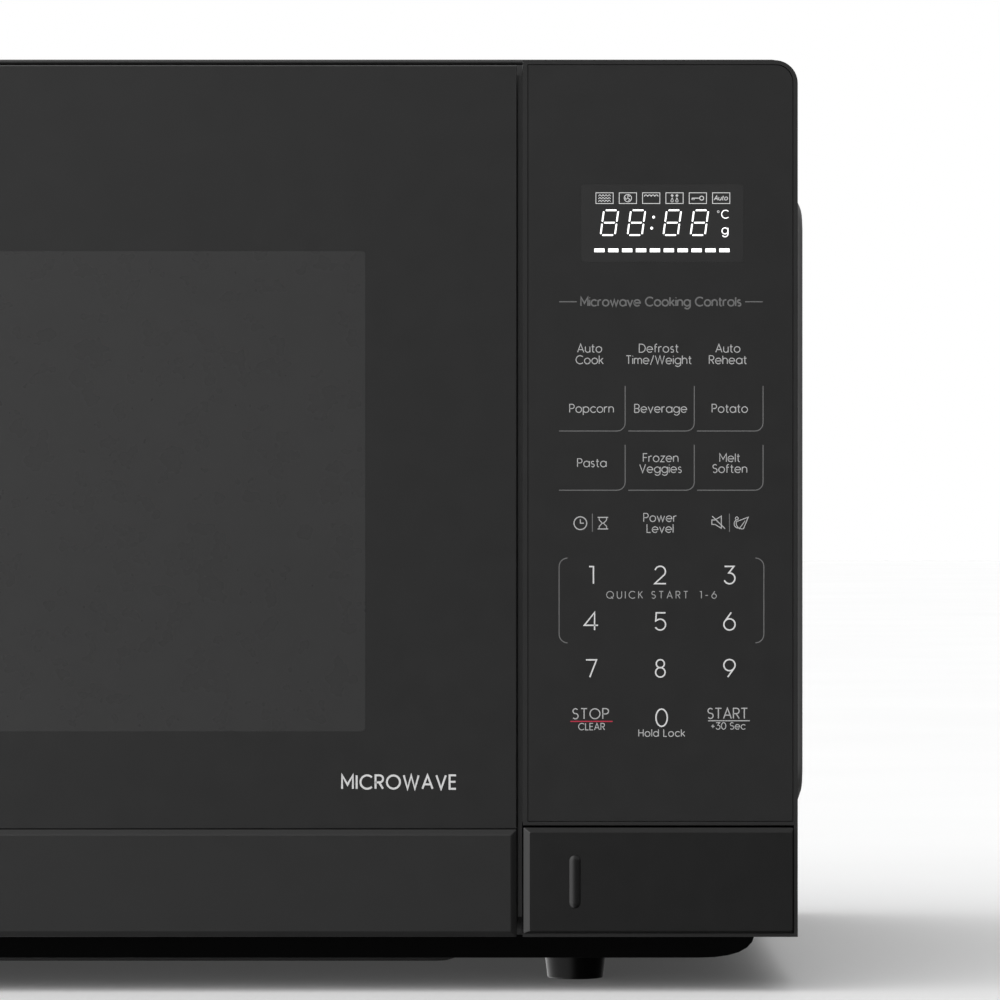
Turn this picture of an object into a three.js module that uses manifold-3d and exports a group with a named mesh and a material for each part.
// Countertop microwave oven of about 25 litres, with a side-hinged door, a flat touch panel and a
// push button that opens the door. Millimetres, +Z up. Seen by a person standing before the oven,
// +X is to the right and -Y is to the front. The origin is on the surface that the oven stands on,
// under the middle of its box.
import * as THREE from 'three';
import { mergeVertices } from 'three/addons/utils/BufferGeometryUtils.js';
import Module from 'manifold-3d';

const wasm = await Module();
wasm.setup();

// ---------------------------------------------------------------- driving dimensions

const GAP = 0.3; // between pieces that lie against each other
const FRONT = -200.3; // the flat front of the door and the panel
const RAISED_FRONT = -202; // the raised trim along the bottom of the door, and the button

// Sheet-steel wrap: a top and two sides, with a folded front edge and a rear flange.
const CASING = {
  halfWidth: 242,
  top: 294,
  bottom: 15,
  front: -164.3,
  rear: 190.7,
  sheet: 0.6,
  cornerRadius: 8,
  hemThickness: 1.5,
  hemDepth: 3.4,
  flangeWidth: 12,
};
const CASING_SLOTS = { rows: [176, 207], length: 26, width: 4, pitch: 9 };
const INTAKE = { firstY: 58, count: 9 }; // slots in the right side of the casing
const OUTLET = { firstY: 76, count: 7 }; // slots in the left side of the casing
const SCREW = { x: 235.4, z: [60, 240], holeRadius: 2.3, headRadius: 3.8, length: 9 };
const SIDE_EMBOSSING = { y: [-140, 150], z: [55.5, 251.1], height: 2.8, slope: 7.5, radius: 15 };

const PAN = {
  halfWidth: 240.9,
  y: [-160.5, 188.3],
  flangeTop: 36,
  shoulder: 15.1,
  shoulderX: 228.6,
  floor: 7.95,
  floorX: 211,
  sheet: 0.8,
};
const PAN_EMBOSSING = { halfWidth: 137.8, y: [-150, 160], depth: 2.25, slope: 7.2, radius: 12 };
const FOOT = { x: 171.7, y: [-138.3, 150], bottomRadius: 9, topRadius: 9.5 };

const PAN_VENTS = { x: [148, 190], firstY: -40, size: [34, 4], pitch: 12, count: 5 };
const REAR_SLOTS = { rows: [200, 234], firstX: -212, size: [4.4, 28], pitch: 11, count: 8 };
const REAR_PANEL = { y: [188.6, 189.6], halfWidth: 240.9, top: 292.9, bottom: 15.4, radius: 7 };
const SPACER = { x: 98, z: 262, length: 12.6, baseRadius: 11, tipRadius: 8 };
const GLAND = { x: 206, z: 46, bore: 3.9, body: 7.2, flange: 11 };

const FRAME = { y: [-164.8, -163.8], halfWidth: 240.2, bottom: 15.6, top: 292.2, radius: 6.5 };
const CAVITY = { x: [-206.9, 119.1], y: [-163.5, 175], z: [50, 256], sheet: 0.6, radius: 9 };
const LAMP_SLOTS = { first: [-114, 206], size: [3, 22], pitch: 6, count: 5 };
const STEAM_SLOTS = { rows: [206, 228], firstY: 100, size: [4, 16], pitch: 9, count: 6 };
const APERTURE = { y: [-42, 42], z: [130, 170] }; // where the microwaves enter the cavity

const DOOR = { x: [-240.5, 152.66], z: [17.3, 289.6], back: -166, radius: 7.2 };
const SHEET_BACK = -197.3;
const TRIM_TOP = 51;
const HINGE = { x: -224.5, y: -190, pinRadius: 2.5, boreRadius: 2.9, clearRadius: 24 };
const HINGE_POCKET = { x: [-241, -190], y: [-196.3, -160], height: 6, arm: 2 };
const UPPER_POCKET_Z = 281;
const LOWER_POCKET_Z = 20;

const STEEL_PANEL = { x: [-230, 136.5], y: [-176, -168.4], z: [28.5, 278.5], sheet: 0.7 };
const SCREEN = { x: [-204, 116], z: [53, 253] }; // the pan of the steel panel that holds the screen

const INNER_COVER = { x: [-230.5, 147.8], y: [-168.1, -166.1], z: [28, 279.4] };
const COVER_WINDOW = { x: [-203, 115], z: [54, 252] };
const INNER_FILM = { x: [-202, 114], y: [-168, -167.6], z: [55, 251] };
const DOOR_HOLLOW = { x: [-231.5, 148.8], front: -195, wall: 2.5 };
const DOOR_WINDOW = { x: [-205, 117], z: [66, 247] };

const HOUSING = { x: [154.6, 240.5], z: [17.3, 291.3], back: -165.3, wall: 2.4, radius: 7.2 };
const OVERLAY = { x: [156.25, 238.9], z: [53.5, 289.8], y: [-200.2, -199], radius: 5.5 };
const DISPLAY = { x: [171, 225], z: [226, 254] };
const SENSOR_FILM = { x: [158, 237], y: [-198.7, -198.3], z: [56, 222] };
const DISPLAY_MODULE = { x: [170, 226], y: [-195.6, -187], z: [224, 256] };
const CONTROL_BOARD = { x: [163, 234], y: [-186, -184.4], z: [62, 284] };
const LIP = { x: [152.96, 154.35], y: [-198.3, -195.5], z: [23.5, 286.65] };
const BUTTON_SPRING = { place: [174, -184.3, 35], radius: 4, length: 4.6 };

const BUTTON = { x: [154.72, 238.78], z: [18.84, 51.5], back: -192, wall: 1.8, bevel: 2.1 };
const BUTTON_PIVOT = { x: 234, y: -196, pinRadius: 1, boreRadius: 1.4 };
const BUTTON_MARK = { x: 170.8, z: [26.3, 43], radius: 1.8, height: 0.5 };
const PLUNGER = { x: [157.5, 162.5], tip: -154.3, z: [30.5, 35] };
const LEVER_PIVOT = { y: -150, z: 58, pinRadius: 2, boreRadius: 2.4, hubRadius: 5 };

const HOOK = { x: [139, 145], z: 66.6, pitch: 160, lift: 3 };
const HOOK_BAR = { x: [140, 144], y: [-184, -178], z: [62, 246] };

const HOOK_SPRING = { place: [142, -181, 250], radius: 3.4, length: 12 };
const SWITCH = { x: 131.3, y: -133.5, z: [70, 101, 230], size: [10, 16, 28] };

const TURNTABLE = { x: -43.9, y: 5 };
const TRAY = { radius: 135, underside: 65, thickness: 4, rim: 11 };
const RING = { inner: 80, outer: 86, z: [54, 61] };
const ROLLER = { radius: 7.2, bore: 2.4, r: [89, 97], axleZ: 57.5 };
const COUPLER = { shaftRadius: 6.5, hubRadius: 8, lobeRadius: 17, lobeWidth: 8, z: [49.3, 61] };

const WAVEGUIDE = { x: [120.4, 160], y: [-48, 48], z: [122, 236], sheet: 1.2 };
const MAGNETRON = { x: [162, 232], y: [-42, 46], z: [165, 245], antennaZ: 205 };
const FAN = { x: 182, z: 128, hole: 49, blade: 46, hub: 12, hubY: [114, 134], chord: 24, pitch: 52 };
const INVERTER_BOARD = { x: [128, 234], y: [-58, 92], z: [40, 41.6] };
const HEATSINK = { x: [180, 228], y: [-50, 36], z: [42, 46], finTop: 74, fin: 2, pitch: 7, fins: 7 };
const TRANSFORMER = { x: [134, 174], y: [28, 78], z: [42, 88], leg: 8, winding: 15.4 };
const FILTER_BOARD = { x: [130, 200], y: [62, 120], z: [252, 253.6] };
const LAMP = { x: 136, y: -100, z: 208, holderZ: 243 };
const CUTOUT = { y: 80, z: 232 };

// ---------------------------------------------------------------- finishes

const FINISH = {
  blackPaint: { color: 0x2b2b2b, roughness: 0.6, metalness: 0.1 },
  blackPlastic: { color: 0x2a2a2a, roughness: 0.55, metalness: 0 },
  blackGlass: { color: 0x303030, roughness: 0.35, metalness: 0 },
  darkRubber: { color: 0x141414, roughness: 0.85, metalness: 0 },
  greyPaint: { color: 0x8f8f8c, roughness: 0.45, metalness: 0.2 },
  zincSteel: { color: 0xa7a9a8, roughness: 0.4, metalness: 0.9 },
  aluminium: { color: 0xb9bbbd, roughness: 0.35, metalness: 0.9 },
  greenBoard: { color: 0x2f5a3a, roughness: 0.5, metalness: 0 },
  whitePlastic: { color: 0xd9d7d0, roughness: 0.5, metalness: 0 },
  clearGlass: { color: 0xcfe0dc, roughness: 0.08, metalness: 0 },
  mica: { color: 0xb8a27c, roughness: 0.6, metalness: 0 },
  copper: { color: 0xa8623a, roughness: 0.4, metalness: 0.7 },
  springSteel: { color: 0x8d8f90, roughness: 0.3, metalness: 1 },
};

// ---------------------------------------------------------------- solids

// A closed geometry as a solid: vertices are merged and triangles with no area are dropped.
function solidFrom(geometry) {
  geometry.deleteAttribute('normal');
  geometry.deleteAttribute('uv');
  const welded = mergeVertices(geometry, 1e-4);
  const corners = welded.index.array;
  const triangles = [];
  for (let i = 0; i < corners.length; i += 3) {
    const [a, b, c] = [corners[i], corners[i + 1], corners[i + 2]];
    if (a !== b && b !== c && c !== a) triangles.push(a, b, c);
  }
  const vertProperties = new Float32Array(welded.attributes.position.array);
  const triVerts = new Uint32Array(triangles);
  return new wasm.Manifold(new wasm.Mesh({ numProp: 3, vertProperties, triVerts }));
}

function geometryFrom(solid) {
  const { vertProperties, triVerts } = solid.getMesh();
  const geometry = new THREE.BufferGeometry();
  geometry.setAttribute('position', new THREE.BufferAttribute(vertProperties, 3));
  geometry.setIndex(new THREE.BufferAttribute(triVerts, 1));
  geometry.computeVertexNormals();
  return geometry;
}

const join = (first, ...others) => others.reduce((sum, other) => sum.add(other), first);
const cut = (first, ...tools) => tools.reduce((rest, tool) => rest.subtract(tool), first);

// A block between two opposite corners.
function block([x0, x1], [y0, y1], [z0, z1]) {
  const geometry = new THREE.BoxGeometry(x1 - x0, y1 - y0, z1 - z0);
  return solidFrom(geometry.translate((x0 + x1) / 2, (y0 + y1) / 2, (z0 + z1) / 2));
}

// Turns geometry made along +Z so that it lies along another axis. What was drawn flat in XY is
// then drawn in YZ for the x axis, and in XZ for the y axis, where it runs towards -Y.
function turnTo(axis, geometry) {
  if (axis === 'x') {
    const basis = new THREE.Matrix4().makeBasis(
      new THREE.Vector3(0, 1, 0),
      new THREE.Vector3(0, 0, 1),
      new THREE.Vector3(1, 0, 0),
    );
    return geometry.applyMatrix4(basis);
  }
  return axis === 'y' ? geometry.rotateX(Math.PI / 2) : geometry;
}

function along(axis, distance) {
  return ['x', 'y', 'z'].map((name) => (name === axis ? distance : 0));
}

// An outline pushed along an axis. With a bevel, both of its ends narrow by bevel.width over
// bevel.height, so one end is usually buried in another solid.
function prism(axis, outline, [from, to], bevel = { height: 0, width: 0 }) {
  const geometry = new THREE.ExtrudeGeometry(outline, {
    depth: to - from - 2 * bevel.height,
    curveSegments: 6,
    bevelEnabled: bevel.height > 0,
    bevelThickness: bevel.height,
    bevelSize: bevel.width,
    bevelOffset: -bevel.width,
    bevelSegments: 1,
  });
  const start = axis === 'y' ? to - bevel.height : from + bevel.height;
  return solidFrom(turnTo(axis, geometry).translate(...along(axis, start)));
}

// A round bar along an axis. The centre is given on the other two axes, in alphabetical order.
function rod(axis, [u, v], [from, to], radius, sides = 24, endRadius = radius) {
  const geometry = new THREE.CylinderGeometry(endRadius, radius, to - from, sides);
  geometry.rotateX(Math.PI / 2);
  if (axis === 'x') geometry.rotateY(Math.PI / 2);
  if (axis === 'y') geometry.rotateX(-Math.PI / 2);
  const middle = (from + to) / 2;
  const centre = { x: [middle, u, v], y: [u, middle, v], z: [u, v, middle] }[axis];
  return solidFrom(geometry.translate(...centre));
}

// A turned piece about the Z axis. The profile is a list of [radius, height] points that goes
// anticlockwise and starts and ends on the axis, or closes on itself.
function turned(profile, sides = 32) {
  const points = profile.map(([radius, height]) => new THREE.Vector2(radius, height));
  const geometry = new THREE.LatheGeometry(points, sides);
  return solidFrom(geometry.rotateX(Math.PI / 2));
}

// A ring about the Z axis with a rectangular section.
function ring(inner, outer, [z0, z1], sides = 32) {
  return turned([[inner, z0], [outer, z0], [outer, z1], [inner, z1], [inner, z0]], sides);
}

// A rectangle with its own radius at each corner, in the plane of an outline.
function roundedRect([u0, u1], [v0, v1], { topLeft = 0, topRight = 0, bottomRight = 0, bottomLeft = 0 }) {
  const shape = new THREE.Shape();
  const corner = (u, v, radius, start) => {
    if (radius > 0) shape.absarc(u, v, radius, start, start + Math.PI / 2);
    else shape.lineTo(u, v);
  };
  shape.moveTo(u0 + bottomLeft, v0);
  corner(u1 - bottomRight, v0 + bottomRight, bottomRight, -Math.PI / 2);
  corner(u1 - topRight, v1 - topRight, topRight, 0);
  corner(u0 + topLeft, v1 - topLeft, topLeft, Math.PI / 2);
  corner(u0 + bottomLeft, v0 + bottomLeft, bottomLeft, Math.PI);
  shape.closePath();
  return shape;
}

const allRound = (radius) => ({ topLeft: radius, topRight: radius, bottomRight: radius, bottomLeft: radius });

// Rows of slots through a wall. Each entry of rows gives the place of a row's first slot.
function slots(size, first, pitch, count) {
  const blocks = [];
  for (let i = 0; i < count; i += 1) {
    const low = first.map((value, k) => value + i * pitch[k]);
    blocks.push(block(...low.map((value, k) => [value, value + size[k]])));
  }
  return join(...blocks);
}

// ---------------------------------------------------------------- scene graph

const oven = new THREE.Group();

function addPart(name, solid, finish, parent = oven) {
  const mesh = new THREE.Mesh(geometryFrom(solid), new THREE.MeshStandardMaterial(finish));
  mesh.name = name;
  parent.add(mesh);
  return mesh;
}

// ---------------------------------------------------------------- casing, base and rear

function casingOutline(inset, bottom) {
  const half = CASING.halfWidth - inset;
  const radius = CASING.cornerRadius - inset;
  return roundedRect([-half, half], [bottom, CASING.top - inset], { topLeft: radius, topRight: radius });
}

// The casing's outside, or with an inset the space within its sheet.
function casingBody(inset, y, bottom) {
  const { height, slope, radius } = SIDE_EMBOSSING;
  const outline = roundedRect(SIDE_EMBOSSING.y, SIDE_EMBOSSING.z, allRound(radius));
  const face = CASING.halfWidth - inset;
  const bevel = { height, width: slope };
  const right = prism('x', outline, [face - height - 1, face + height], bevel);
  const left = prism('x', outline, [-face - height, -face + height + 1], bevel);
  return join(prism('y', casingOutline(inset, bottom), y), right, left);
}

function outerCasing() {
  const { front, rear, sheet, hemDepth, hemThickness, flangeWidth, bottom } = CASING;
  const inside = casingBody(sheet, [front + hemDepth, rear - sheet], bottom - 20);
  const hem = prism('y', casingOutline(hemThickness, bottom - 20), [front - 1, front + hemDepth + 1]);
  const rearOpening = prism('y', casingOutline(flangeWidth, bottom - 20), [rear - 2, rear + 1]);
  const { rows, length, width, pitch } = CASING_SLOTS;
  const sideSlots = (x, { firstY, count }) => rows.map(
    (z) => slots([20, width, length], [x, firstY, z], [0, pitch, 0], count),
  );
  const wrap = casingBody(0, [front, rear], bottom);
  return cut(
    wrap,
    inside,
    hem,
    rearOpening,
    ...sideSlots(230, INTAKE),
    ...sideSlots(-250, OUTLET),
    ...screwHoles(),
  );
}

const SCREW_PLACES = [-SCREW.x, SCREW.x].flatMap((x) => SCREW.z.map((z) => [x, z]));

const screwHoles = () => SCREW_PLACES.map((place) => rod('y', place, [180, 200], SCREW.holeRadius, 12));

function screw() {
  const { length, headRadius } = SCREW;
  const shank = 1.7;
  return turned([
    [0, -length],
    [shank, -length],
    [shank, 0],
    [headRadius, 0],
    [headRadius, 1.3],
    [headRadius - 1.2, 2.2],
    [0, 2.2],
  ], 12);
}

// Open tray under the whole oven. With an inset this is the space within its sheet.
function panBody(inset) {
  const { halfWidth, shoulder, shoulderX, floor, floorX, flangeTop } = PAN;
  const side = halfWidth - inset;
  const low = floor + inset;
  const step = shoulder + inset;
  const top = flangeTop + (inset > 0 ? 5 : 0);
  const shape = new THREE.Shape();
  shape.moveTo(-side, step);
  shape.lineTo(-shoulderX + inset, step);
  shape.quadraticCurveTo(-shoulderX + inset + 1.2, low, -floorX, low);
  shape.lineTo(floorX, low);
  shape.quadraticCurveTo(shoulderX - inset - 1.2, low, shoulderX - inset, step);
  shape.lineTo(side, step);
  shape.lineTo(side, top);
  shape.lineTo(-side, top);
  shape.closePath();
  const { halfWidth: half, y, depth, slope, radius } = PAN_EMBOSSING;
  const outline = roundedRect([-half, half], y, allRound(radius));
  const embossing = prism('z', outline, [low - depth, low + depth + 0.5], { height: depth, width: slope });
  return join(prism('y', shape, [PAN.y[0] + inset, PAN.y[1] - inset]), embossing);
}

function basePan() {
  const { x: columns, firstY, size, pitch, count } = PAN_VENTS;
  const vents = columns.map((x) => slots([...size, 12], [x, firstY, 4], [0, pitch, 0], count));
  const plungerNotch = block([152, 172], [PAN.y[0] - 1, PAN.y[0] + 3], [25, 40]);
  return cut(panBody(0), panBody(PAN.sheet), plungerNotch, ...vents);
}

function foot() {
  const { bottomRadius, topRadius } = FOOT;
  const top = PAN.floor - GAP;
  return turned([[0, 0], [bottomRadius - 0.6, 0], [bottomRadius, 0.6], [topRadius, top], [0, top]], 24);
}

// Horizontal slots that fill a circle in the rear panel, in front of the fan.
function fanGrille() {
  const blocks = [];
  for (let row = -4; row <= 4; row += 1) {
    const z = FAN.z + row * 9.5;
    const half = Math.sqrt(FAN.blade ** 2 - (row * 9.5) ** 2);
    blocks.push(block([FAN.x - half, FAN.x + half], [180, 200], [z - 2.2, z + 2.2]));
  }
  return blocks;
}

function rearPanel() {
  const { halfWidth, top, bottom, radius, y } = REAR_PANEL;
  const outline = roundedRect([-halfWidth, halfWidth], [bottom, top], { topLeft: radius, topRight: radius });
  const { rows, firstX, size, pitch, count } = REAR_SLOTS;
  const outlet = rows.map((z) => slots([size[0], 20, size[1]], [firstX, 180, z], [pitch, 0, 0], count));
  const cable = rod('y', [GLAND.x, GLAND.z], [180, 200], GLAND.body + GAP);
  return cut(prism('y', outline, y), ...fanGrille(), ...outlet, cable, ...screwHoles());
}

function spacer() {
  const { length, baseRadius, tipRadius } = SPACER;
  return turned([
    [0, 0],
    [baseRadius, 0],
    [baseRadius, 2],
    [tipRadius, length - 1],
    [tipRadius - 1, length],
    [0, length],
  ], 24);
}

// A bush with a bore for the mains lead: a body through the panel between two flanges.
function cordGland() {
  const { bore, body, flange } = GLAND;
  return turned([
    [bore, -8],
    [body - 1, -8],
    [body, -6],
    [body, GAP],
    [flange, GAP],
    [flange, 3],
    [body + 1, 7.5],
    [bore, 7.5],
    [bore, -8],
  ], 24);
}

function addEnclosure() {
  addPart('outer_casing', outerCasing(), FINISH.blackPaint);
  addPart('base_pan', basePan(), FINISH.blackPaint);
  addPart('rear_panel', rearPanel(), FINISH.zincSteel);
  const places = { front: FOOT.y[0], rear: FOOT.y[1] };
  for (const [end, y] of Object.entries(places)) {
    for (const [side, sign] of [['left', -1], ['right', 1]]) {
      addPart(`foot_${end}_${side}`, foot(), FINISH.darkRubber).position.set(sign * FOOT.x, y, 0);
    }
  }
  for (const [side, sign] of [['left', -1], ['right', 1]]) {
    const mesh = addPart(`rear_spacer_${side}`, spacer(), FINISH.blackPlastic);
    mesh.position.set(sign * SPACER.x, REAR_PANEL.y[1] + GAP, SPACER.z);
    mesh.rotation.x = -Math.PI / 2;
  }
  SCREW_PLACES.forEach(([x, z], index) => {
    const mesh = addPart(`casing_screw_${index + 1}`, screw(), FINISH.zincSteel);
    mesh.position.set(x, CASING.rear + GAP, z);
    mesh.rotation.x = -Math.PI / 2;
  });
  const gland = addPart('cord_gland', cordGland(), FINISH.darkRubber);
  gland.position.set(GLAND.x, REAR_PANEL.y[1], GLAND.z);
  gland.rotation.x = -Math.PI / 2;
}

// ---------------------------------------------------------------- front frame and cavity

function hingeSlot(z) {
  return block([-214, -191], [-170, -160], [z - 0.6, z + HINGE_POCKET.arm + 0.6]);
}

const armZ = (pocket) => pocket + (HINGE_POCKET.height - HINGE_POCKET.arm) / 2;

function hookSlots(y, [x0, x1]) {
  return [0, 1].map((i) => {
    const low = HOOK.z + i * HOOK.pitch;
    return block([x0, x1], y, [low - 1, low + 13.4 + HOOK.lift + 1]);
  });
}

function frontFrame() {
  const { halfWidth, bottom, top, radius, y } = FRAME;
  const outline = (inset) => roundedRect(
    [-halfWidth + inset, halfWidth - inset],
    [bottom + inset, top - inset],
    { topLeft: radius, topRight: radius },
  );
  const plate = prism('y', outline(0), y);
  const flange = cut(prism('y', outline(0), [y[0], -152]), prism('y', outline(1), [y[0] - 1, -150]));
  const belowFlange = block([-300, 300], [y[1], -150], [0, PAN.flangeTop + 2]);
  const cavityOpening = block(CAVITY.x, [-170, -160], CAVITY.z);
  const plungerHole = block([155.6, 168], [-170, -160], [26, 40]);
  const wiring = block([174, 232], [-170, -160], [84, 236]);
  return cut(
    join(plate, cut(flange, belowFlange)),
    cavityOpening,
    plungerHole,
    wiring,
    ...hookSlots([-170, -160], [137.5, 150.2]),
    hingeSlot(armZ(UPPER_POCKET_Z)),
    hingeSlot(armZ(LOWER_POCKET_Z)),
  );
}

function cavityLiner() {
  const { x, y, z, sheet, radius } = CAVITY;
  const outer = prism(
    'y',
    roundedRect([x[0] - sheet, x[1] + sheet], [z[0] - sheet, z[1] + sheet], allRound(radius + sheet)),
    [y[0], y[1] + sheet],
  );
  const inner = prism('y', roundedRect(x, z, allRound(radius)), [y[0] - 1, y[1]]);
  const shaftHole = rod('z', [TURNTABLE.x, TURNTABLE.y], [40, 60], COUPLER.shaftRadius + 1.5);
  const aperture = block([110, 130], APERTURE.y, APERTURE.z);
  const lamp = LAMP_SLOTS;
  const lampSlots = slots([20, ...lamp.size], [110, ...lamp.first], [0, lamp.pitch, 0], lamp.count);
  const steam = STEAM_SLOTS;
  const steamVents = steam.rows.map(
    (low) => slots([20, ...steam.size], [-216, steam.firstY, low], [0, steam.pitch, 0], steam.count),
  );
  return cut(outer, inner, shaftHole, aperture, lampSlots, ...steamVents);
}

// Fixed arm of the door hinge. It passes through the front frame and carries the pin.
function hingeBracket(pocket, pinEnd) {
  const arm = armZ(pocket);
  const shape = new THREE.Shape();
  shape.absarc(HINGE.x, HINGE.y, 5.5, (135 * Math.PI) / 180, (315 * Math.PI) / 180);
  shape.lineTo(-194, -172);
  shape.lineTo(-194, -162);
  shape.lineTo(-212, -162);
  shape.lineTo(-212, -168);
  shape.closePath();
  const plate = prism('z', shape, [arm, arm + HINGE_POCKET.arm]);
  const tabEnd = pocket > 100 ? [arm - 22, arm + 0.5] : [arm + 1.5, arm + 22];
  const tab = block([-212, -194], [-163.5, -162], tabEnd);
  const pinZ = pinEnd < arm ? [pinEnd, arm + 1] : [arm + 1, pinEnd];
  return join(plate, tab, rod('z', [HINGE.x, HINGE.y], pinZ, HINGE.pinRadius, 20));
}

function addCavity() {
  addPart('front_frame', frontFrame(), FINISH.blackPaint);
  addPart('cavity_liner', cavityLiner(), FINISH.greyPaint);
  addPart('hinge_bracket_upper', hingeBracket(UPPER_POCKET_Z, 272), FINISH.zincSteel);
  addPart('hinge_bracket_lower', hingeBracket(LOWER_POCKET_Z, 35), FINISH.zincSteel);
}

// ---------------------------------------------------------------- door

// The door seen from the front, with only its top left corner rounded.
const doorOutline = (z) => roundedRect(DOOR.x, z, { topLeft: DOOR.radius });

// The door seen from above. The corner behind the hinge is round about the hinge, so it clears the
// front frame as it swings, and the free edge narrows towards the back for the same reason.
function doorPlan() {
  const shape = new THREE.Shape();
  const reach = Math.acos((HINGE.x - DOOR.x[0]) / HINGE.clearRadius);
  shape.moveTo(DOOR.x[0], -197);
  shape.lineTo(DOOR.x[1], -197);
  shape.lineTo(DOOR.x[1], HINGE.y);
  shape.lineTo(151, DOOR.back);
  shape.lineTo(HINGE.x, DOOR.back);
  shape.absarc(HINGE.x, HINGE.y, HINGE.clearRadius, Math.PI / 2, Math.PI - reach);
  shape.closePath();
  return shape;
}

function doorFrame() {
  const body = prism('z', doorPlan(), DOOR.z).intersect(prism('y', doorOutline(DOOR.z), [-200, -160]));
  const { x, front, wall } = DOOR_HOLLOW;
  const hollow = block(x, [front, -160], [DOOR.z[0] + wall, DOOR.z[1] - wall]);
  const window = block(DOOR_WINDOW.x, [-200, -190], DOOR_WINDOW.z);
  const pockets = [];
  const seats = [];
  const bores = [];
  for (const [pocket, seatZ, boreZ] of [
    [UPPER_POCKET_Z, [268, 281], [270, 284]],
    [LOWER_POCKET_Z, [26, 39], [23, 37]],
  ]) {
    pockets.push(block(HINGE_POCKET.x, HINGE_POCKET.y, [pocket, pocket + HINGE_POCKET.height]));
    seats.push(block([-232, -206], [-196, -177], seatZ));
    bores.push(rod('z', [HINGE.x, HINGE.y], boreZ, HINGE.boreRadius, 20));
  }
  const springSeat = block([138, 149.5], [-196, -176], [262.3, 265]);
  return cut(join(cut(body, hollow, window), ...seats, springSeat), ...pockets, ...bores);
}

// Front trim under the front sheet: a bar with a bevelled, raised face.
function doorLowerTrim() {
  const outline = roundedRect(DOOR.x, [DOOR.z[0], TRIM_TOP], {});
  const bar = prism('y', outline, [FRONT, SHEET_BACK]);
  const bevel = { height: FRONT - RAISED_FRONT, width: 1.75 };
  return join(bar, prism('y', outline, [RAISED_FRONT, FRONT + bevel.height + 1], bevel));
}

// Steel panel whose edge is folded into a choke channel that faces the front frame.
function doorSteelPanel() {
  const { x, y, z, sheet } = STEEL_PANEL;
  const shrink = ([low, high], by) => [low + by, high - by];
  const channel = cut(
    block(shrink(x, sheet), [y[0] + sheet, y[1] + 1], shrink(z, sheet)),
    block(SCREEN.x, [y[0], y[1] + 2], SCREEN.z),
  );
  const pan = block(shrink(SCREEN.x, sheet), [y[0] - 1, y[1] - sheet], shrink(SCREEN.z, sheet));
  return cut(block(x, y, z), channel, pan);
}

// Plastic cover over the choke channel, with slots for the hooks.
function doorInnerCover() {
  const cover = block(INNER_COVER.x, INNER_COVER.y, INNER_COVER.z);
  const window = block(COVER_WINDOW.x, [-170, -160], COVER_WINDOW.z);
  return cut(cover, window, ...hookSlots([-170, -160], [137.8, 146.4]));
}

// Two hooks on one bar. The bar slides up inside the door to free them.
function latchHooks() {
  const hook = (z) => {
    const shape = new THREE.Shape();
    shape.moveTo(HOOK_BAR.y[0], z + 3.4);
    shape.lineTo(-146, z + 3.4);
    shape.lineTo(-146, z);
    shape.lineTo(-141, z);
    shape.lineTo(-138, z + 3.4);
    shape.lineTo(-138, z + 7.4);
    shape.lineTo(-144, z + 13.4);
    shape.lineTo(HOOK_BAR.y[0], z + 13.4);
    shape.closePath();
    return prism('x', shape, HOOK.x);
  };
  return join(block(HOOK_BAR.x, HOOK_BAR.y, HOOK_BAR.z), hook(HOOK.z), hook(HOOK.z + HOOK.pitch));
}

// A spring's space when it is pressed together, as a plain tube along Z.
const springTube = ({ radius, length }) => ring(radius - 1, radius, [0, length], 16);

function addDoor() {
  const sheet = prism('y', doorOutline([TRIM_TOP + GAP, DOOR.z[1]]), [FRONT, SHEET_BACK]);
  addPart('door_front_sheet', sheet, FINISH.blackGlass);
  addPart('door_lower_trim', doorLowerTrim(), FINISH.blackPlastic);
  addPart('door_frame', doorFrame(), FINISH.blackPlastic);
  addPart('door_steel_panel', doorSteelPanel(), FINISH.blackPaint);
  const film = block(INNER_FILM.x, INNER_FILM.y, INNER_FILM.z);
  addPart('door_inner_film', film, FINISH.clearGlass);
  addPart('door_inner_cover', doorInnerCover(), FINISH.blackPlastic);
  addPart('latch_hooks', latchHooks(), FINISH.whitePlastic);
  const spring = addPart('latch_spring', springTube(HOOK_SPRING), FINISH.springSteel);
  spring.position.set(...HOOK_SPRING.place);
}

// ---------------------------------------------------------------- control panel and button

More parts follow.
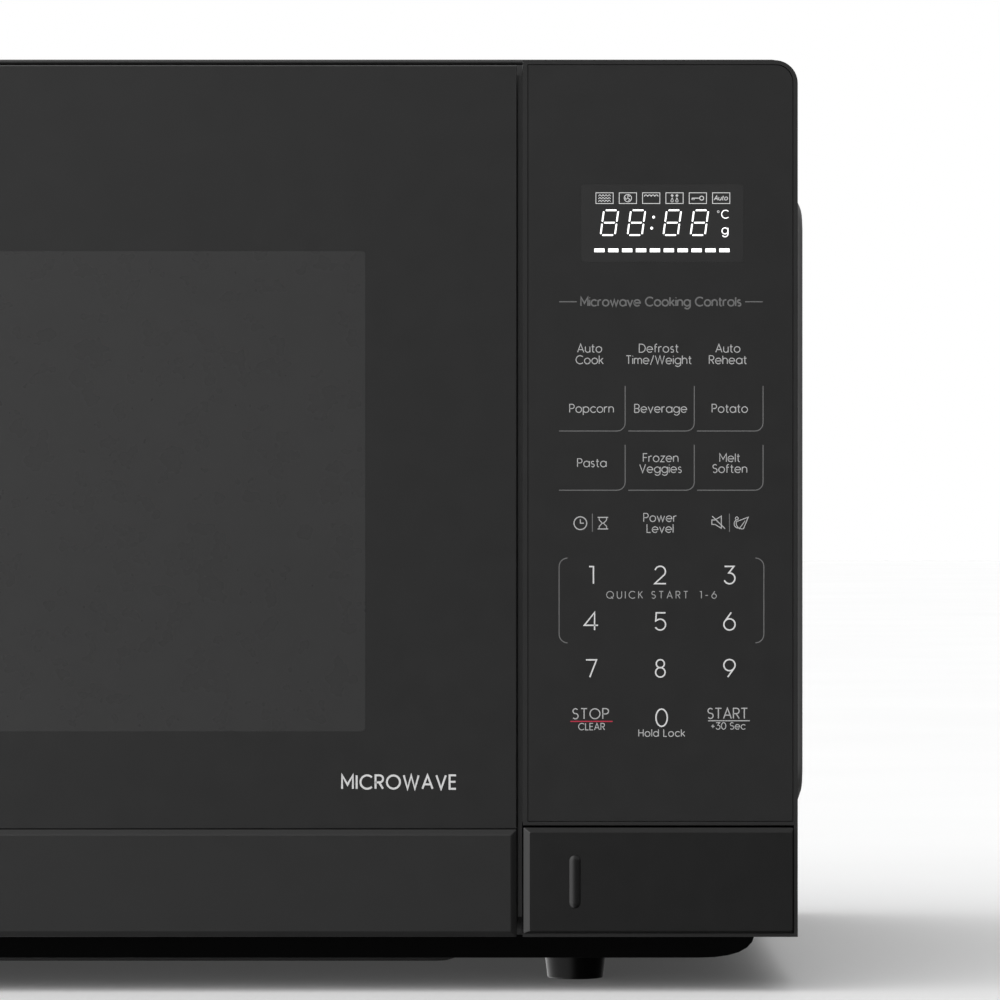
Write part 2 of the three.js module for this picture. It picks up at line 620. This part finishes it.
function controlHousing() {
  const { x, z, back, wall, radius } = HOUSING;
  const inner = ([low, high]) => [low + wall, high - wall];
  const body = prism('y', roundedRect(x, z, { topRight: radius }), [FRONT, back]);
  const hollow = block(inner(x), [-196, -160], inner(z));
  const overlayEdge = roundedRect(
    [OVERLAY.x[0] - 0.2, OVERLAY.x[1] + 0.2],
    [OVERLAY.z[0] - 0.2, OVERLAY.z[1] + 0.2],
    { topRight: OVERLAY.radius },
  );
  const recess = prism('y', overlayEdge, [-202, -198]);
  const display = block(DISPLAY.x, [-200, -190], DISPLAY.z);
  const ribbonSlot = block([180, 210], [-200, -190], [100, 103]);
  const buttonSpace = block([150, 239.3], [-203, -186], [18.4, 52.2]);
  const lip = join(
    block(LIP.x, LIP.y, LIP.z),
    block([154, 155], LIP.y, [53, LIP.z[1]]),
  );
  const lugs = [22, 46].map((low) => {
    const plate = join(
      block([231.5, 239], [-190.5, -183], [low, low + 2]),
      block([231.5, 236.5], [-198.5, -190], [low, low + 2]),
    );
    const { x: pivotX, y: pivotY, boreRadius } = BUTTON_PIVOT;
    return cut(plate, rod('z', [pivotX, pivotY], [low - 1, low + 3], boreRadius, 16));
  });
  const posts = [];
  for (const px of [167, 230]) {
    for (const pz of [68, 278]) posts.push(rod('y', [px, pz], [-197, -186.3], 2.6, 12));
  }
  const springSeat = block([166, 182], [-184, -182], [24, 46]);
  const seatArm = block([156, 168], [-184, -182], [40, 46]);
  const shell = cut(body, hollow, recess, display, ribbonSlot, buttonSpace);
  return join(shell, lip, ...lugs, ...posts, springSeat, seatArm);
}

// Push button that turns about a pin near its right end, with a plunger near its left end.
function doorOpenButton() {
  const { x, z, back, wall } = BUTTON;
  const outline = roundedRect(x, z, {});
  const bevel = { height: FRONT - RAISED_FRONT, width: BUTTON.bevel };
  const body = join(
    prism('y', outline, [FRONT, back]),
    prism('y', outline, [RAISED_FRONT, FRONT + bevel.height + 1], bevel),
  );
  const hollow = block(
    [x[0] + wall, x[1] - wall],
    [RAISED_FRONT + 2, back + 1],
    [z[0] + wall, z[1] - wall],
  );
  const { x: markX, z: markZ, radius, height } = BUTTON_MARK;
  const pill = new THREE.Shape();
  pill.absarc(markX, markZ[0] + radius, radius, Math.PI, 2 * Math.PI);
  pill.absarc(markX, markZ[1] - radius, radius, 0, Math.PI);
  pill.closePath();
  const mark = prism('y', pill, [RAISED_FRONT - height, RAISED_FRONT + 2], { height, width: 0.4 });
  const plunger = block(PLUNGER.x, [RAISED_FRONT + 1, PLUNGER.tip], PLUNGER.z);
  const pin = rod('z', [BUTTON_PIVOT.x, BUTTON_PIVOT.y], [z[0] + 1, z[1] - 1], BUTTON_PIVOT.pinRadius, 16);
  return join(cut(body, hollow), mark, plunger, pin);
}

// Bell crank: the plunger pushes its lower arm back, and its rear arm lifts the hooks.
function releaseLever() {
  const { y, z, boreRadius, hubRadius } = LEVER_PIVOT;
  const hub = rod('x', [y, z], [133.5, 165], hubRadius, 20);
  const lowerArm = block([156, 164], [y - 3.7, y - 0.7], [29, z]);
  const shape = new THREE.Shape();
  shape.moveTo(y - 2, z - 3);
  shape.lineTo(y + 5, z - 3);
  shape.lineTo(y + 14, z + 6.5);
  shape.lineTo(y + 14, z + 8.2);
  shape.lineTo(y + 10, z + 8.2);
  shape.lineTo(y - 2, z + 3);
  shape.closePath();
  const liftArm = prism('x', shape, [139, 146]);
  return cut(join(hub, lowerArm, liftArm), rod('x', [y, z], [130, 170], boreRadius, 16));
}

function addControls() {
  addPart('control_housing', controlHousing(), FINISH.blackPlastic);
  const overlay = roundedRect(OVERLAY.x, OVERLAY.z, { topRight: OVERLAY.radius });
  addPart('touch_overlay', prism('y', overlay, OVERLAY.y), FINISH.blackGlass);
  const plate = ({ x: across, y: depth, z: up }) => block(across, depth, up);
  addPart('touch_sensor_film', plate(SENSOR_FILM), FINISH.mica);
  addPart('display_module', plate(DISPLAY_MODULE), FINISH.whitePlastic);
  addPart('control_board', plate(CONTROL_BOARD), FINISH.greenBoard);
  addPart('door_open_button', doorOpenButton(), FINISH.blackPlastic);
  addPart('release_lever', releaseLever(), FINISH.whitePlastic);
  const spring = addPart('button_spring', springTube(BUTTON_SPRING), FINISH.springSteel);
  spring.position.set(...BUTTON_SPRING.place);
  spring.rotation.x = Math.PI / 2;
}

// ---------------------------------------------------------------- latch and switches

function latchBody() {
  const { y, z, pinRadius } = LEVER_PIVOT;
  const sidePlate = block([127, 131], [-163.4, -116], [40, 262]);
  const flange = block([127, 153], [-163.4, -161.9], [88, 220]);
  const lowerShelf = block([130, 153], [-163.4, -155.6], [60, HOOK.z - 0.4]);
  const upperShelf = block([130, 153], [-163.4, -138], [220, HOOK.z + HOOK.pitch - 0.4]);
  return join(sidePlate, flange, lowerShelf, upperShelf, rod('x', [y, z], [130, 166.5], pinRadius, 16));
}

function microswitch() {
  const [width, depth, height] = SWITCH.size;
  const body = block([0, width], [0, depth], [0, height]);
  const plunger = rod('y', [5, 21], [-1.6, 1], 1.6, 12);
  const terminals = [4, 12, 20].map((z) => block([4, 6], [15, 22], [z, z + 4]));
  return join(body, plunger, ...terminals);
}

function addLatch() {
  addPart('latch_body', latchBody(), FINISH.whitePlastic);
  SWITCH.z.forEach((z, index) => {
    const mesh = addPart(`microswitch_${index + 1}`, microswitch(), FINISH.blackPlastic);
    mesh.position.set(SWITCH.x, SWITCH.y, z);
  });
}

// ---------------------------------------------------------------- turntable

function driveCoupler() {
  const { shaftRadius, hubRadius, lobeRadius, lobeWidth, z } = COUPLER;
  const shoulder = CAVITY.z[0] + 1;
  const parts = [rod('z', [0, 0], [z[0], shoulder + 1], shaftRadius, 24)];
  parts.push(rod('z', [0, 0], [shoulder, z[1]], hubRadius, 24));
  for (let i = 0; i < 3; i += 1) {
    const lobe = new THREE.BoxGeometry(lobeRadius, lobeWidth, z[1] - shoulder);
    lobe.translate(lobeRadius / 2, 0, (z[1] + shoulder) / 2);
    parts.push(solidFrom(lobe.rotateZ((i * 2 * Math.PI) / 3)));
  }
  return cut(join(...parts), rod('z', [0, 0], [z[0] - 1, 57.5], 4, 20));
}

// Glass plate with a raised rim. Three studs under it stand between the coupler's lobes.
function glassTray() {
  const { radius, underside, thickness, rim } = TRAY;
  const floor = underside + thickness;
  const plate = turned([
    [0, underside],
    [radius - 16, underside],
    [radius - 3, underside + rim - thickness],
    [radius, underside + rim - thickness + 1],
    [radius, underside + rim],
    [radius - 5, underside + rim],
    [radius - 17, floor],
    [0, floor],
  ], 56);
  const studs = [];
  for (let i = 0; i < 3; i += 1) {
    const stud = new THREE.BoxGeometry(9, 7, 5.5);
    stud.translate(13.5, 0, underside - 4.5 + 2.75);
    studs.push(solidFrom(stud.rotateZ(((i + 0.5) * 2 * Math.PI) / 3)));
  }
  return join(plate, ...studs);
}

function rollerRing() {
  const parts = [ring(RING.inner, RING.outer, RING.z, 44)];
  for (let i = 0; i < 3; i += 1) {
    const axle = new THREE.CylinderGeometry(1.9, 1.9, ROLLER.r[1] + 2 - (RING.inner + 2), 16);
    axle.rotateZ(Math.PI / 2);
    axle.translate((ROLLER.r[1] + 2 + RING.inner + 2) / 2, 0, ROLLER.axleZ);
    const cap = new THREE.CylinderGeometry(3.4, 3.4, 1.6, 16);
    cap.rotateZ(Math.PI / 2);
    cap.translate(ROLLER.r[1] + 1.3, 0, ROLLER.axleZ);
    for (const piece of [axle, cap]) parts.push(solidFrom(piece.rotateZ((i * 2 * Math.PI) / 3)));
  }
  return join(...parts);
}

function roller() {
  const { radius, bore, r } = ROLLER;
  const width = r[1] - r[0];
  return turned([
    [bore, 0],
    [radius - 0.8, 0],
    [radius, 0.8],
    [radius, width - 0.8],
    [radius - 0.8, width],
    [bore, width],
    [bore, 0],
  ], 20);
}

function turntableMotor() {
  const underside = CAVITY.z[0] - CAVITY.sheet - 0.4;
  const can = rod('z', [0, 0], [underside - 15, underside], 25, 32);
  const ears = block([-33, 33], [-5, 5], [underside - 1.5, underside]);
  const terminals = block([18, 34], [-9, 9], [underside - 12, underside - 4]);
  return join(can, ears, terminals, rod('z', [0, 0], [underside - 1, 56], 3.5, 16));
}

function addTurntable() {
  const turntable = new THREE.Group();
  turntable.position.set(TURNTABLE.x, TURNTABLE.y, 0);
  oven.add(turntable);
  addPart('turntable_motor', turntableMotor(), FINISH.zincSteel, turntable);
  addPart('drive_coupler', driveCoupler(), FINISH.whitePlastic, turntable);
  addPart('roller_ring', rollerRing(), FINISH.whitePlastic, turntable);
  addPart('glass_tray', glassTray(), FINISH.clearGlass, turntable);
  for (let i = 0; i < 3; i += 1) {
    const spoke = new THREE.Group();
    spoke.rotation.z = (i * 2 * Math.PI) / 3;
    turntable.add(spoke);
    const mesh = addPart(`roller_${i + 1}`, roller(), FINISH.whitePlastic, spoke);
    mesh.position.set(ROLLER.r[0], 0, ROLLER.axleZ);
    mesh.rotation.y = Math.PI / 2;
  }
}

// ---------------------------------------------------------------- microwave source and electrics

function waveguide() {
  const { x, y, z, sheet } = WAVEGUIDE;
  const inside = block([x[0] - 1, x[1] - sheet], [y[0] + sheet, y[1] - sheet], [z[0] + sheet, z[1] - sheet]);
  const antennaHole = rod('x', [0, MAGNETRON.antennaZ], [x[1] - 5, x[1] + 5], 12, 20);
  return cut(block(x, y, z), inside, antennaHole);
}

// Steel yoke around an anode with cooling fins; the antenna points into the waveguide.
function magnetron() {
  const { x, y, z, antennaZ } = MAGNETRON;
  const window = block([x[0] + 3, x[1] - 3], [y[0] - 1, y[1] + 1], [z[0] + 2, z[1] - 2]);
  const fins = [];
  for (let fin = 0; fin < 6; fin += 1) {
    const low = x[0] + 13 + fin * 8.4;
    fins.push(block([low, low + 0.8], [y[0] + 3, y[1] - 3], [z[0] + 1, z[1] - 1]));
  }
  const anode = rod('x', [2, antennaZ], [x[0] + 2, x[1] - 2], 17, 14);
  const antenna = rod('x', [0, antennaZ], [x[0] - 28, x[0] + 1], 8, 20);
  const filterBox = block([x[0] + 34, x[1] - 4], [-26, 30], [z[0] - 18, z[0] + 1]);
  return join(cut(block(x, y, z), window), ...fins, anode, antenna, filterBox);
}

function inverterHeatsink() {
  const { x, y, z, finTop, fin, pitch, fins } = HEATSINK;
  const blades = [];
  for (let i = 0; i < fins; i += 1) {
    const low = x[0] + 2 + i * pitch;
    blades.push(block([low, low + fin], [y[0] + 2, y[1] - 2], [z[1] - 1, finTop]));
  }
  return join(block(x, y, z), ...blades);
}

function inverterTransformer() {
  const { x, y, z, leg, winding } = TRANSFORMER;
  const opening = block([x[0] + leg, x[1] - leg], [y[0] - 8, y[1] + 8], [z[0] + leg, z[1] - leg]);
  const core = cut(block(x, y, z), opening);
  const centre = [(x[0] + x[1]) / 2, (z[0] + z[1]) / 2];
  return join(core, rod('y', centre, [y[0] + 2, y[1] - 2], winding, 24));
}

function lineFilterBoard() {
  const board = block(FILTER_BOARD.x, FILTER_BOARD.y, FILTER_BOARD.z);
  const choke = rod('z', [150, 92], [253, 270], 12, 20);
  const capacitor = block([170, 192], [76, 104], [253, 272]);
  const fuse = rod('x', [70, 258], [140, 164], 3, 12);
  return join(board, choke, capacitor, fuse, block([144, 160], [67, 73], [253, 258]));
}

function ovenLamp() {
  return turned([[0, 0], [4, 1], [7.5, 5], [8, 12], [7.5, 20], [7, 30], [7, 38], [0, 38]], 20);
}

function lampHolder() {
  const cup = ring(7.6, 11, [-8, 4], 24);
  const bracket = join(block([-14, 12], [-13, 13], [4, 6]), block([-14, -12.5], [-13, 13], [-12, 6]));
  return join(cup, bracket);
}

const thermalCutout = () => turned([[0, 0], [8, 0], [8, 4], [5, 4], [5, 7], [0, 7]], 20);

function addElectrics() {
  addPart('waveguide', waveguide(), FINISH.zincSteel);
  addPart('waveguide_cover', block([118.2, 118.8], [-50, 50], [124, 176]), FINISH.mica);
  addPart('magnetron', magnetron(), FINISH.zincSteel);
  const board = block(INVERTER_BOARD.x, INVERTER_BOARD.y, INVERTER_BOARD.z);
  addPart('inverter_board', board, FINISH.greenBoard);
  addPart('inverter_heatsink', inverterHeatsink(), FINISH.aluminium);
  addPart('inverter_transformer', inverterTransformer(), FINISH.copper);
  addPart('line_filter_board', lineFilterBoard(), FINISH.greenBoard);
  addPart('oven_lamp', ovenLamp(), FINISH.clearGlass).position.set(LAMP.x, LAMP.y, LAMP.z);
  const holder = addPart('lamp_holder', lampHolder(), FINISH.whitePlastic);
  holder.position.set(LAMP.x, LAMP.y, LAMP.holderZ);
  const cutout = addPart('thermal_cutout', thermalCutout(), FINISH.whitePlastic);
  cutout.position.set(CAVITY.x[1] + CAVITY.sheet + GAP, CUTOUT.y, CUTOUT.z);
  cutout.rotation.y = Math.PI / 2;
}

// ---------------------------------------------------------------- cooling fan

function fanBracket() {
  const plate = block([127, 238], [126, 128], [62, 200]);
  const shroud = rod('y', [FAN.x, FAN.z], [112, 127], FAN.hole + 2, 40);
  return cut(join(plate, shroud), rod('y', [FAN.x, FAN.z], [100, 140], FAN.hole, 40));
}

function fanMotor() {
  const core = block([-30, 30], [150, 166], [-20, 20]);
  const coil = rod('x', [158, -13], [-16, 16], 12, 20);
  const bearing = rod('y', [0, 0], [144, 172], 12, 24);
  const struts = [-52, 52].map((x) => block([x - 3, x + 3], [128.3, 152], [-4, 4]));
  const crossbar = block([-54, 54], [149, 151.5], [-4, 4]);
  return join(core, coil, bearing, crossbar, ...struts, rod('y', [0, 0], [116, 146], 1.6, 12));
}

// Hub with five blades set at an angle to the air flow.
function fanBlade() {
  const parts = [rod('y', [0, 0], FAN.hubY, FAN.hub, 24)];
  for (let i = 0; i < 5; i += 1) {
    const blade = new THREE.BoxGeometry(FAN.blade - FAN.hub + 2, 1.6, FAN.chord);
    blade.rotateX((FAN.pitch * Math.PI) / 180);
    blade.translate((FAN.blade + FAN.hub - 2) / 2, (FAN.hubY[0] + FAN.hubY[1]) / 2, 0);
    parts.push(solidFrom(blade.rotateY((i * 2 * Math.PI) / 5)));
  }
  return cut(join(...parts), rod('y', [0, 0], [110, 140], 2, 16));
}

function addFan() {
  addPart('fan_bracket', fanBracket(), FINISH.zincSteel);
  const fan = new THREE.Group();
  fan.position.set(FAN.x, 0, FAN.z);
  oven.add(fan);
  addPart('fan_motor', fanMotor(), FINISH.zincSteel, fan);
  addPart('fan_blade', fanBlade(), FINISH.whitePlastic, fan);
}

addEnclosure();
addCavity();
addDoor();
addControls();
addLatch();
addTurntable();
addElectrics();
addFan();

export default oven;
